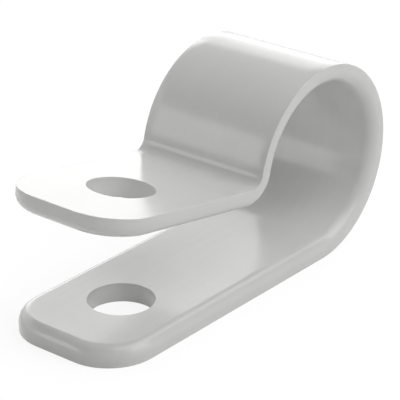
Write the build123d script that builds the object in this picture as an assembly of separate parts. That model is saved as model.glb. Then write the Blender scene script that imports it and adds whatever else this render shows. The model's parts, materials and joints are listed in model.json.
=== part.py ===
from build123d import *
import os
from math import cos, radians, sin

# One-piece moulded cable clamp: a flat strap that runs out as a straight leg, turns round
# into a loop for the cable, bends back and ends in a tab that stands above the leg.
# Millimetres, +Z up. The origin is on the axis of the leg's hole, at the leg's underside.
# +X runs from the hole to the loop, and Y runs across the strap.

# Strap section
strap_width = 9.525
strap_thickness = 1.27
inner_edge_radius = 0.762

# Loop and bend, with angles in degrees
bore_diameter = 10.67
wrap_angle = 256.7
bend_radius = 0.85
flare_angle = 10.0

# Leg and tab
loop_reach = 14.21
end_length = 5.98
corner_radius = 3.2
hole_diameter = 4.2
# How far the tab's hole stands nearer to the loop than the leg's hole, at mid thickness
tab_hole_lead = 0.08

# Angle that brings the end of the loop round to the slope of the tab
bend_angle = wrap_angle - 180 + flare_angle

# The leg's outer face is its underside, and the tab's outer face is its top
tab_up = Vector(sin(radians(flare_angle)), 0, cos(radians(flare_angle)))

# Share of a wall that its rounding may take up before the wall is lost
largest_rounding = 0.95
same_place = 1e-3


def strap_to_bend(depth):
    """Side view of leg, loop and bend, at a depth below the strap's outer face."""
    loop_radius = bore_diameter / 2 + strap_thickness - depth
    leg = Line((-end_length, depth), (loop_reach, depth))
    loop = JernArc(leg @ 1, leg % 1, loop_radius, wrap_angle)
    bend = JernArc(loop @ 1, loop % 1, bend_radius + depth, -bend_angle)
    return [leg, loop, bend]


def bend_to_tab_hole():
    """Length of tab that brings its hole over the hole in the leg."""
    bend = strap_to_bend(strap_thickness / 2)[-1]
    return ((bend @ 1).X - tab_hole_lead) / cos(radians(flare_angle))


def strap_line(depth):
    """Side view of the whole strap, at a depth below its outer face."""
    edges = strap_to_bend(depth)
    bend = edges[-1]
    tab_length = bend_to_tab_hole() + end_length
    return edges + [PolarLine(bend @ 1, tab_length, direction=bend % 1)]


def side_view(edges):
    """Edges drawn in the side view, stood up in the middle of the strap's width."""
    return [Plane.XZ * edge for edge in edges]


def plain_strap():
    """The strap with square edges, as its side view carried across its width."""
    outer = strap_line(0)
    inner = strap_line(strap_thickness)
    leg_end = Line(outer[0] @ 0, inner[0] @ 0)
    tab_end = Line(outer[-1] @ 1, inner[-1] @ 1)
    profile = make_face(side_view(outer + [tab_end] + inner + [leg_end]))
    return extrude(profile, strap_width / 2, both=True)


def round_ends(strap):
    """Round the corners of the leg's end and the tab's end, as seen from above."""
    leg_corners = strap.edges().filter_by(Axis.Z)
    tab_corners = strap.edges().filter_by(Axis((0, 0, 0), tab_up))
    radius = min(corner_radius, strap_width / 2 * largest_rounding)
    return fillet(leg_corners + tab_corners, radius)


def inner_rim(strap):
    """The one unbroken edge that the face towards the cable has all the way round."""
    middle = Wire(side_view(strap_line(strap_thickness)))
    faces = [f for f in strap.faces() if middle.distance_to(f.center()) < same_place]
    edges = [edge for face in faces for edge in face.edges()]
    return [edge for edge in edges if edges.count(edge) == 1]


def soften_inner_edge(strap):
    """Round the inner rim, so that the strap has no sharp edge against a cable."""
    radius = min(inner_edge_radius, strap_thickness * largest_rounding)
    return fillet(inner_rim(strap), radius)


def leg_hole_place():
    """Plane halfway through the leg, with its origin on the axis of the leg's hole."""
    return Plane.XY.offset(strap_thickness / 2)


def tab_hole_place():
    """Plane halfway through the tab, with its origin on the axis of the tab's hole."""
    bend_end = strap_to_bend(strap_thickness / 2)[-1] @ 1
    rise = bend_to_tab_hole() * sin(radians(flare_angle))
    return Plane((tab_hole_lead, 0, bend_end.Y + rise), x_dir=(0, 1, 0), z_dir=tab_up)


def screw_hole(place):
    """Cutter for a plain round hole that runs out past both faces of the strap."""
    return place * Cylinder(hole_diameter / 2, 2 * strap_thickness)


def clamp_strap():
    """The whole clamp: strap, rounded ends, softened inner edge and two holes."""
    strap = soften_inner_edge(round_ends(plain_strap()))
    return strap - screw_hole(leg_hole_place()) - screw_hole(tab_hole_place())


os.makedirs("parts", exist_ok=True)
export_step(clamp_strap(), "parts/clamp_strap.step")
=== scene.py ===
import json
from math import atan2, ceil, cos, pi, radians, sin, tan

import bmesh
import bpy
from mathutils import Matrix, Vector


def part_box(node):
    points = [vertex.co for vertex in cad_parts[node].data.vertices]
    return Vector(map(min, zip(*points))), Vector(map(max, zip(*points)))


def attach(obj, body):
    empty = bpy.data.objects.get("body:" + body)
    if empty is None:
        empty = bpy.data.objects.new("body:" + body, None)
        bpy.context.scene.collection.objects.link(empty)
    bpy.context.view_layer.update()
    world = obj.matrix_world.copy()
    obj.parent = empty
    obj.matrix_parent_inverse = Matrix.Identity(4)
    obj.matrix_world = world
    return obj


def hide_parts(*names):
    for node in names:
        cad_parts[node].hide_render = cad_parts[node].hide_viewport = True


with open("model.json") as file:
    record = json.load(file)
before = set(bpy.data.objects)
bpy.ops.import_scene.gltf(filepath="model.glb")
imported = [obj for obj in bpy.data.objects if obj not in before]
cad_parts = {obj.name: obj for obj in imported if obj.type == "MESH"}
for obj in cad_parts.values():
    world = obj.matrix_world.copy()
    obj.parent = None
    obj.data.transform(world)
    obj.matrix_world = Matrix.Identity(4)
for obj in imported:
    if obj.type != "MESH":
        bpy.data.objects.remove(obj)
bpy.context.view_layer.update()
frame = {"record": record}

# Clamp strap: the whole clamp is one strap, injection-moulded in natural nylon, and a screw through
# its two holes holds it. It is drawn flat here, as a blank, and then rolled up from its outer face:
# straight along the leg, round the loop, sharply back at the bend and straight along the flared tab.
mm = 0.001
mounts = {mount["name"]: mount for mount in frame["record"]["mounts"]}
leg_hole, tab_hole, cable_loop = (mounts[name] for name in ("fixing_hole", "tab_hole", "cable_loop"))
lowest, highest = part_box("clamp_strap")

strap_width = highest.y - lowest.y
strap_thickness = leg_hole["dims"]["length_mm"] * mm
hole_radius = leg_hole["dims"]["r_mm"] * mm
end_length = -lowest.x
corner_radius = 3.2 * mm
inner_edge_radius = (strap_width - cable_loop["dims"]["length_mm"] * mm) / 2
edge_break = 0.025 * mm

leg_length = cable_loop["pos_m"][0]
loop_radius = cable_loop["dims"]["r_mm"] * mm + strap_thickness
flare = atan2(tab_hole["axis"][0], tab_hole["axis"][2])
wrap = radians(256.7)
bend_turn = wrap - pi + flare
bend_radius = 0.85 * mm

# Places along the blank's outer face, from the axis of the leg's hole
loop_start = leg_length
bend_start = loop_start + loop_radius * wrap
tab_start = bend_start + bend_radius * bend_turn
tab_start_x = (leg_length + (loop_radius + bend_radius) * sin(wrap)
               - (bend_radius + strap_thickness / 2) * sin(wrap - bend_turn))
tab_hole_place = tab_start + (tab_start_x - tab_hole["pos_m"][0]) / cos(flare)
strap_end = tab_hole_place + end_length

# How finely the blank is divided
hole_field = 5.2 * mm
flat_step = 0.65 * mm
loop_step = 0.25 * mm
bend_step = 0.06 * mm
columns = 12
corner_steps = 12
end_steps = 8
break_steps = 3
rim_steps = 10
rounding_slack = 1e-6


def spaced(start, end, step):
    """Even places from start up to, but not at, end."""
    count = ceil((end - start) / step - rounding_slack)
    return [start + (end - start) * i / count for i in range(count)]


def quarter(steps):
    """Angles of a quarter turn, both ends included."""
    return [pi / 2 * i / steps for i in range(steps + 1)]


leg_field_end = hole_field
tab_field_start = tab_hole_place - hole_field
stations = (spaced(-end_length + corner_radius, leg_field_end, flat_step)
            + spaced(leg_field_end, loop_start, flat_step)
            + spaced(loop_start, bend_start, loop_step)
            + spaced(bend_start, tab_start, bend_step)
            + spaced(tab_start, tab_field_start, flat_step)
            + spaced(tab_field_start, strap_end - corner_radius, flat_step)
            + [strap_end - corner_radius])
first_row = stations.index(leg_field_end)
last_row = stations.index(tab_field_start)
near_side = len(stations) - 1
far_side = near_side + 2 * corner_steps + 1 + end_steps


def corner(centre_u, centre_y, radius, start):
    """A rounded corner of the outline, both ends included."""
    return [(centre_u + radius * cos(start + a), centre_y + radius * sin(start + a))
            for a in quarter(corner_steps)]


def end_edge(u, y_from, y_to):
    """Places inside the straight edge that closes an end of the strap."""
    return [(u, y_from + (y_to - y_from) * i / end_steps) for i in range(1, end_steps)]


def outline(inset):
    """The blank's outline from above, drawn in by inset, with as many points for every inset."""
    side = strap_width / 2 - inset
    bow = strap_width / 2 - corner_radius
    radius = corner_radius - inset
    leg_u = -end_length + corner_radius
    tab_u = strap_end - corner_radius
    return ([(u, -side) for u in stations[:-1]]
            + corner(tab_u, -bow, radius, -pi / 2) + end_edge(strap_end - inset, -bow, bow)
            + corner(tab_u, bow, radius, 0)
            + [(u, side) for u in reversed(stations[1:-1])]
            + corner(leg_u, bow, radius, pi / 2) + end_edge(-end_length + inset, bow, -bow)
            + corner(leg_u, -bow, radius, pi)[:-1])


def broken_edge():
    """Inset and depth of the steps round the barely broken edge of the outer face."""
    return [(edge_break * (1 - sin(a)), edge_break * (1 - cos(a))) for a in quarter(break_steps)]


def rounded_rim():
    """Inset and depth of the steps round the well rounded rim of the face that the cable touches."""
    flank = strap_thickness - inner_edge_radius
    return [(inner_edge_radius * (1 - cos(a)), flank + inner_edge_radius * sin(a))
            for a in quarter(rim_steps)]


def bridge(bm, rings):
    """Faces between rings that have as many corners, each ring to the next."""
    for ring, next_ring in zip(rings, rings[1:]):
        for i in range(len(ring)):
            j = (i + 1) % len(ring)
            bm.faces.new((ring[i], ring[j], next_ring[j], next_ring[i]))


def face_between_holes(bm, ring):
    """Rows of faces over the middle of one side of the blank, and the loops left open round the holes."""
    rows = []
    for i in range(first_row, last_row + 1):
        low, high = ring[i], ring[far_side + near_side - 1 - i]
        between = [bm.verts.new(low.co.lerp(high.co, j / columns)) for j in range(1, columns)]
        rows.append([low] + between + [high])
    for row, next_row in zip(rows, rows[1:]):
        for j in range(columns):
            bm.faces.new((row[j], next_row[j], next_row[j + 1], row[j + 1]))
    leg_field = ring[far_side + near_side - 1 - first_row:] + ring[:first_row] + rows[0][:-1]
    tab_field = ring[last_row:far_side + near_side - last_row] + rows[-1][-2:0:-1]
    return leg_field, tab_field


def hole_rings(bm, place, field):
    """Rings down the wall of a screw hole, one point for each point of the loop round it."""
    angles = [atan2(v.co.y, v.co.x - place) for v in field]
    steps = broken_edge() + [(grow, strap_thickness - depth) for grow, depth in reversed(broken_edge())]
    return [[bm.verts.new((place + (hole_radius + grow) * cos(a), (hole_radius + grow) * sin(a), depth))
             for a in angles] for grow, depth in steps]


def flat_strap():
    """The whole blank as one closed mesh of four-sided faces, by its place along, across and in depth."""
    bm = bmesh.new()
    rings = [[bm.verts.new((u, y, depth)) for u, y in outline(inset)]
             for inset, depth in broken_edge() + rounded_rim()]
    bridge(bm, rings)
    outer_fields = face_between_holes(bm, rings[0])
    inner_fields = face_between_holes(bm, rings[-1])
    for place, outer, inner in zip((0, tab_hole_place), outer_fields, inner_fields):
        bridge(bm, [outer] + hole_rings(bm, place, outer) + [inner])
    bmesh.ops.recalc_face_normals(bm, faces=bm.faces)
    mesh = bpy.data.meshes.new("strap_blank")
    bm.to_mesh(mesh)
    bm.free()
    mesh.shade_smooth()
    return mesh


class Wire:
    """An output of a node that can stand in sums, where each sum adds its Math node to the tree."""

    def __init__(self, socket):
        self.socket = socket

    @staticmethod
    def node(tree, kind, settings, inputs):
        """Adds a node, makes its settings first, and then sets or links its sockets."""
        made = tree.nodes.new(kind)
        for name, value in settings.items():
            setattr(made, name, value)
        for name, value in inputs.items():
            if isinstance(value, Wire):
                tree.links.new(value.socket, made.inputs[name])
            else:
                made.inputs[name].default_value = value
        return Wire(made.outputs[0]) if made.outputs else made

    def out(self, name):
        """Another output of the same node."""
        return Wire(self.socket.node.outputs[name])

    def into(self, socket):
        """Links this output to a socket of a node that is there already."""
        self.socket.id_data.links.new(self.socket, socket)

    def math(self, operation, first, second=0.0):
        """The output of a Math node in the same tree."""
        return Wire.node(self.socket.id_data, "ShaderNodeMath", {"operation": operation},
                         {0: first, 1: second})

    def __add__(self, other):
        return self.math("ADD", self, other)

    def __radd__(self, other):
        return self.math("ADD", other, self)

    def __sub__(self, other):
        return self.math("SUBTRACT", self, other)

    def __rsub__(self, other):
        return self.math("SUBTRACT", other, self)

    def __mul__(self, other):
        return self.math("MULTIPLY", self, other)

    def __rmul__(self, other):
        return self.math("MULTIPLY", other, self)

    def __truediv__(self, other):
        return self.math("DIVIDE", self, other)

    def __rtruediv__(self, other):
        return self.math("DIVIDE", other, self)

    def sin(self):
        return self.math("SINE", self)

    def cos(self):
        return self.math("COSINE", self)

    def at_least(self, low):
        return self.math("MAXIMUM", self, low)

    def at_most(self, high):
        return self.math("MINIMUM", self, high)


def roll_tree():
    """Geometry Nodes that roll a flat strap up, with the sizes of the roll as inputs."""
    tree = bpy.data.node_groups.new("roll_up_strap", "GeometryNodeTree")
    tree.interface.new_socket("Strap", in_out="INPUT", socket_type="NodeSocketGeometry")
    for name in ("Leg Length", "Loop Radius", "Wrap", "Bend Radius", "Bend Turn"):
        tree.interface.new_socket(name, in_out="INPUT", socket_type="NodeSocketFloat")
    tree.interface.new_socket("Finish", in_out="INPUT", socket_type="NodeSocketMaterial")
    tree.interface.new_socket("Strap", in_out="OUTPUT", socket_type="NodeSocketGeometry")
    given = Wire.node(tree, "NodeGroupInput", {}, {})
    leg, loop, wrapped = given.out("Leg Length"), given.out("Loop Radius"), given.out("Wrap")
    bend, turned = given.out("Bend Radius"), given.out("Bend Turn")

    place = Wire.node(tree, "GeometryNodeInputPosition", {}, {})
    along = Wire.node(tree, "ShaderNodeSeparateXYZ", {}, {0: place})
    across, depth = along.out("Y"), along.out("Z")

    past_leg = along - leg
    past_loop = past_leg - loop * wrapped
    past_bend = past_loop - bend * turned
    round_loop = (past_leg / loop).at_least(0.0).at_most(wrapped)
    round_bend = (past_loop / bend).at_least(0.0).at_most(turned)
    on_tab = past_bend.at_least(0.0)
    heading = round_loop - round_bend
    x = (along.at_most(leg) + loop * round_loop.sin() + bend * (round_loop.sin() - heading.sin())
         + on_tab * heading.cos() - depth * heading.sin())
    z = (loop * (1.0 - round_loop.cos()) + bend * (heading.cos() - round_loop.cos())
         + on_tab * heading.sin() + depth * heading.cos())
    rolled = Wire.node(tree, "ShaderNodeCombineXYZ", {}, {0: x, 1: across, 2: z})

    kept = Wire.node(tree, "GeometryNodeStoreNamedAttribute",
                     {"data_type": "FLOAT_VECTOR", "domain": "POINT"},
                     {"Geometry": given.out("Strap"), "Name": "flat_place", "Value": place})
    moved = Wire.node(tree, "GeometryNodeSetPosition", {}, {"Geometry": kept, "Position": rolled})
    real = Wire.node(tree, "GeometryNodeRealizeInstances", {}, {0: moved})
    dressed = Wire.node(tree, "GeometryNodeSetMaterial", {},
                        {"Geometry": real, "Material": given.out("Finish")})
    Wire.node(tree, "NodeGroupOutput", {}, {0: dressed})
    return tree


# Natural nylon as moulded: a pale, faintly warm grey that is cloudy inside and lightly streaked along
# the way it flowed through the mould, under a satin skin with a fine grain and a gentle waviness
dense_nylon = (0.598, 0.598, 0.581, 1)
clear_nylon = (0.643, 0.643, 0.634, 1)
cloud_size = 3.5 * mm
streak_length = 7.0 * mm
streak_width = 0.45 * mm
grain_size = 0.11 * mm
wave_size = 0.9 * mm
grain_height = 0.0011 * mm
wave_height = 0.002 * mm
cloud_tone = 1.5
streak_tone = 0.7
skin_roughness = 0.19
streak_roughness = 0.06
grain_roughness = 0.04
refraction = 1.53


def noise(tree, place, sizes, detail):
    """Smooth noise from about -0.5 to 0.5, with lumps of the sizes given along each axis."""
    scaled = Wire.node(tree, "ShaderNodeVectorMath", {"operation": "DIVIDE"}, {0: place, 1: sizes})
    lumps = Wire.node(tree, "ShaderNodeTexNoise", {}, {"Vector": scaled, "Scale": 1.0, "Detail": detail})
    return lumps - 0.5


def natural_nylon():
    """The strap's material: clouds and grain lie in the body, and streaks run along the flat strap."""
    material = bpy.data.materials.new("natural_nylon")
    material.use_nodes = True
    tree = material.node_tree
    skin = tree.nodes["Principled BSDF"].inputs
    body = Wire.node(tree, "ShaderNodeTexCoord", {}, {}).out("Object")
    strap_place = Wire.node(tree, "ShaderNodeAttribute", {"attribute_name": "flat_place"}, {}).out("Vector")

    cloud = noise(tree, body, (cloud_size,) * 3, detail=3.0)
    streak = noise(tree, strap_place, (streak_length, streak_width, streak_width), detail=2.0)
    grain = noise(tree, body, (grain_size,) * 3, detail=1.0)
    wave = noise(tree, body, (wave_size,) * 3, detail=0.0)

    clearness = (0.5 + cloud_tone * cloud + streak_tone * streak).at_least(0.0).at_most(1.0)
    tone = Wire.node(tree, "ShaderNodeMix", {"data_type": "RGBA"},
                     {0: clearness, 6: dense_nylon, 7: clear_nylon})
    tone.out(2).into(skin["Base Color"])
    roughness = skin_roughness + streak_roughness * streak + grain_roughness * grain
    roughness.into(skin["Roughness"])
    height = grain * grain_height + wave * wave_height
    relief = Wire.node(tree, "ShaderNodeBump", {}, {"Distance": 1.0, "Height": height})
    relief.into(skin["Normal"])
    skin["IOR"].default_value = refraction
    return material


blank = bpy.data.objects.new("strap_blank", flat_strap())
bpy.context.scene.collection.objects.link(blank)
roll = blank.modifiers.new("roll_up", "NODES")
roll.node_group = roll_tree()
roll_sizes = {"Leg Length": leg_length, "Loop Radius": loop_radius, "Wrap": wrap,
              "Bend Radius": bend_radius, "Bend Turn": bend_turn, "Finish": natural_nylon()}
for item in roll.node_group.interface.items_tree:
    if item.in_out == "INPUT" and item.name in roll_sizes:
        roll[item.identifier] = roll_sizes[item.name]
blank.modifiers.new("even_shading", "WEIGHTED_NORMAL")
rolled_up = blank.evaluated_get(bpy.context.evaluated_depsgraph_get())
strap = bpy.data.objects.new("cable_clamp_strap", bpy.data.meshes.new_from_object(rolled_up))
bpy.context.scene.collection.objects.link(strap)
bpy.data.objects.remove(blank)
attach(strap, "root")
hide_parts("clamp_strap")

# Camera: it looks down on the near corner of the leg from the front left, through a long lens. Its
# place, aim and focal length follow the edges of the clamp in the photograph.
camera_turn = radians(-50.8166)
camera_height = radians(24.6545)
camera_distance = 123.6838 * mm
aim = Vector((7.2467, -0.2739, 5.389)) * mm
focal_length_px = 1980.25
image_px = 400
sensor_width = 36
nearest_seen = 10 * mm

view = Vector((sin(camera_turn) * cos(camera_height), -cos(camera_turn) * cos(camera_height),
               sin(camera_height)))
camera = bpy.data.objects.new("camera", bpy.data.cameras.new("camera"))
camera.location = aim + view * camera_distance
camera.rotation_euler = (-view).to_track_quat("-Z", "Y").to_euler()
camera.data.sensor_width = sensor_width
camera.data.lens = sensor_width * focal_length_px / image_px
camera.data.clip_start = nearest_seen
bpy.context.scene.collection.objects.link(camera)
bpy.context.scene.camera = camera

# Floor and light: the clamp lies on a plain white floor in a dim room with a white horizon, between
# soft panels. The floor shows white wherever nothing shades it, and it keeps a faint shadow.
floor_half = 2.0
floor_bounce = 0.78
floor_glow = 0.84
floor_shade = 0.19
room_light = 0.12
horizon_top = 0.34
panel_distance = 1.0


def seen(tree):
    """1 for rays that show the surroundings in the picture or in a reflection, and 0 for the rest."""
    camera_ray = Wire.node(tree, "ShaderNodeLightPath", {}, {}).out("Is Camera Ray")
    return (camera_ray.at_least(camera_ray.out("Is Glossy Ray"))
            .at_least(camera_ray.out("Is Transmission Ray")))


def white_floor():
    """A floor that lights the clamp from below as white card does, and shows as white with a shadow."""
    material = bpy.data.materials.new("white_floor")
    material.use_nodes = True
    tree = material.node_tree
    tree.nodes.clear()
    bounce = Wire.node(tree, "ShaderNodeBsdfDiffuse", {}, {"Color": (floor_bounce,) * 3 + (1,)})
    glow = Wire.node(tree, "ShaderNodeEmission", {}, {"Strength": floor_glow})
    shade = Wire.node(tree, "ShaderNodeBsdfDiffuse", {}, {"Color": (floor_shade,) * 3 + (1,)})
    shown = Wire.node(tree, "ShaderNodeAddShader", {}, {0: glow, 1: shade})
    surface = Wire.node(tree, "ShaderNodeMixShader", {}, {0: seen(tree), 1: bounce, 2: shown})
    Wire.node(tree, "ShaderNodeOutputMaterial", {}, {"Surface": surface})
    return material


def dim_room():
    """An even dim light from all round, with a white horizon in the picture and in reflections."""
    room = bpy.data.worlds.new("dim_room")
    room.use_nodes = True
    tree = room.node_tree
    background = tree.nodes["Background"].inputs
    way = Wire.node(tree, "ShaderNodeTexCoord", {}, {}).out("Generated")
    upward = Wire.node(tree, "ShaderNodeSeparateXYZ", {}, {0: way}).out("Z")
    horizon = ((horizon_top - upward) / horizon_top).at_least(0.0).at_most(1.0)
    (seen(tree) * horizon * (1 - room_light) + room_light).into(background["Strength"])
    background["Color"].default_value = (1, 1, 1, 1)
    return room


def panel(name, turn, height, wide, tall, brightness, only_mirrored=False):
    """A soft panel that faces the clamp: its place and its size as seen from there are in degrees.
    One that is only mirrored shows as a reflection and gives no other light."""
    lamp = bpy.data.lights.new(name, "AREA")
    lamp.shape = "RECTANGLE"
    lamp.size = 2 * panel_distance * tan(radians(wide) / 2)
    lamp.size_y = 2 * panel_distance * tan(radians(tall) / 2)
    lamp.energy = brightness * pi * lamp.size * lamp.size_y
    away = Vector((cos(radians(turn)) * cos(radians(height)), sin(radians(turn)) * cos(radians(height)),
                   sin(radians(height))))
    light = bpy.data.objects.new(name, lamp)
    light.location = away * panel_distance
    light.rotation_euler = away.to_track_quat("Z", "Y").to_euler()
    light.visible_camera = False
    light.visible_diffuse = not only_mirrored
    bpy.context.scene.collection.objects.link(light)


floor_mesh = bpy.data.meshes.new("floor")
floor_ends = (-floor_half, floor_half)
floor_mesh.from_pydata([(x, y, 0) for y in floor_ends for x in floor_ends], [], [(0, 1, 3, 2)])
floor_mesh.materials.append(white_floor())
floor = bpy.data.objects.new("floor", floor_mesh)
bpy.context.scene.collection.objects.link(floor)
bpy.context.scene.world = dim_room()
panel("key", turn=288, height=32, wide=46, tall=34, brightness=2.0)
panel("top", turn=325, height=66, wide=60, tall=50, brightness=1.85)
panel("back", turn=36, height=16, wide=52, tall=34, brightness=1.79)
panel("back_left", turn=92, height=24, wide=84, tall=34, brightness=1.4)
panel("left_card", turn=144, height=17, wide=14, tall=26, brightness=2.4, only_mirrored=True)
panel("left", turn=205, height=30, wide=60, tall=40, brightness=0.54)
bpy.context.scene.view_settings.view_transform = "Standard"
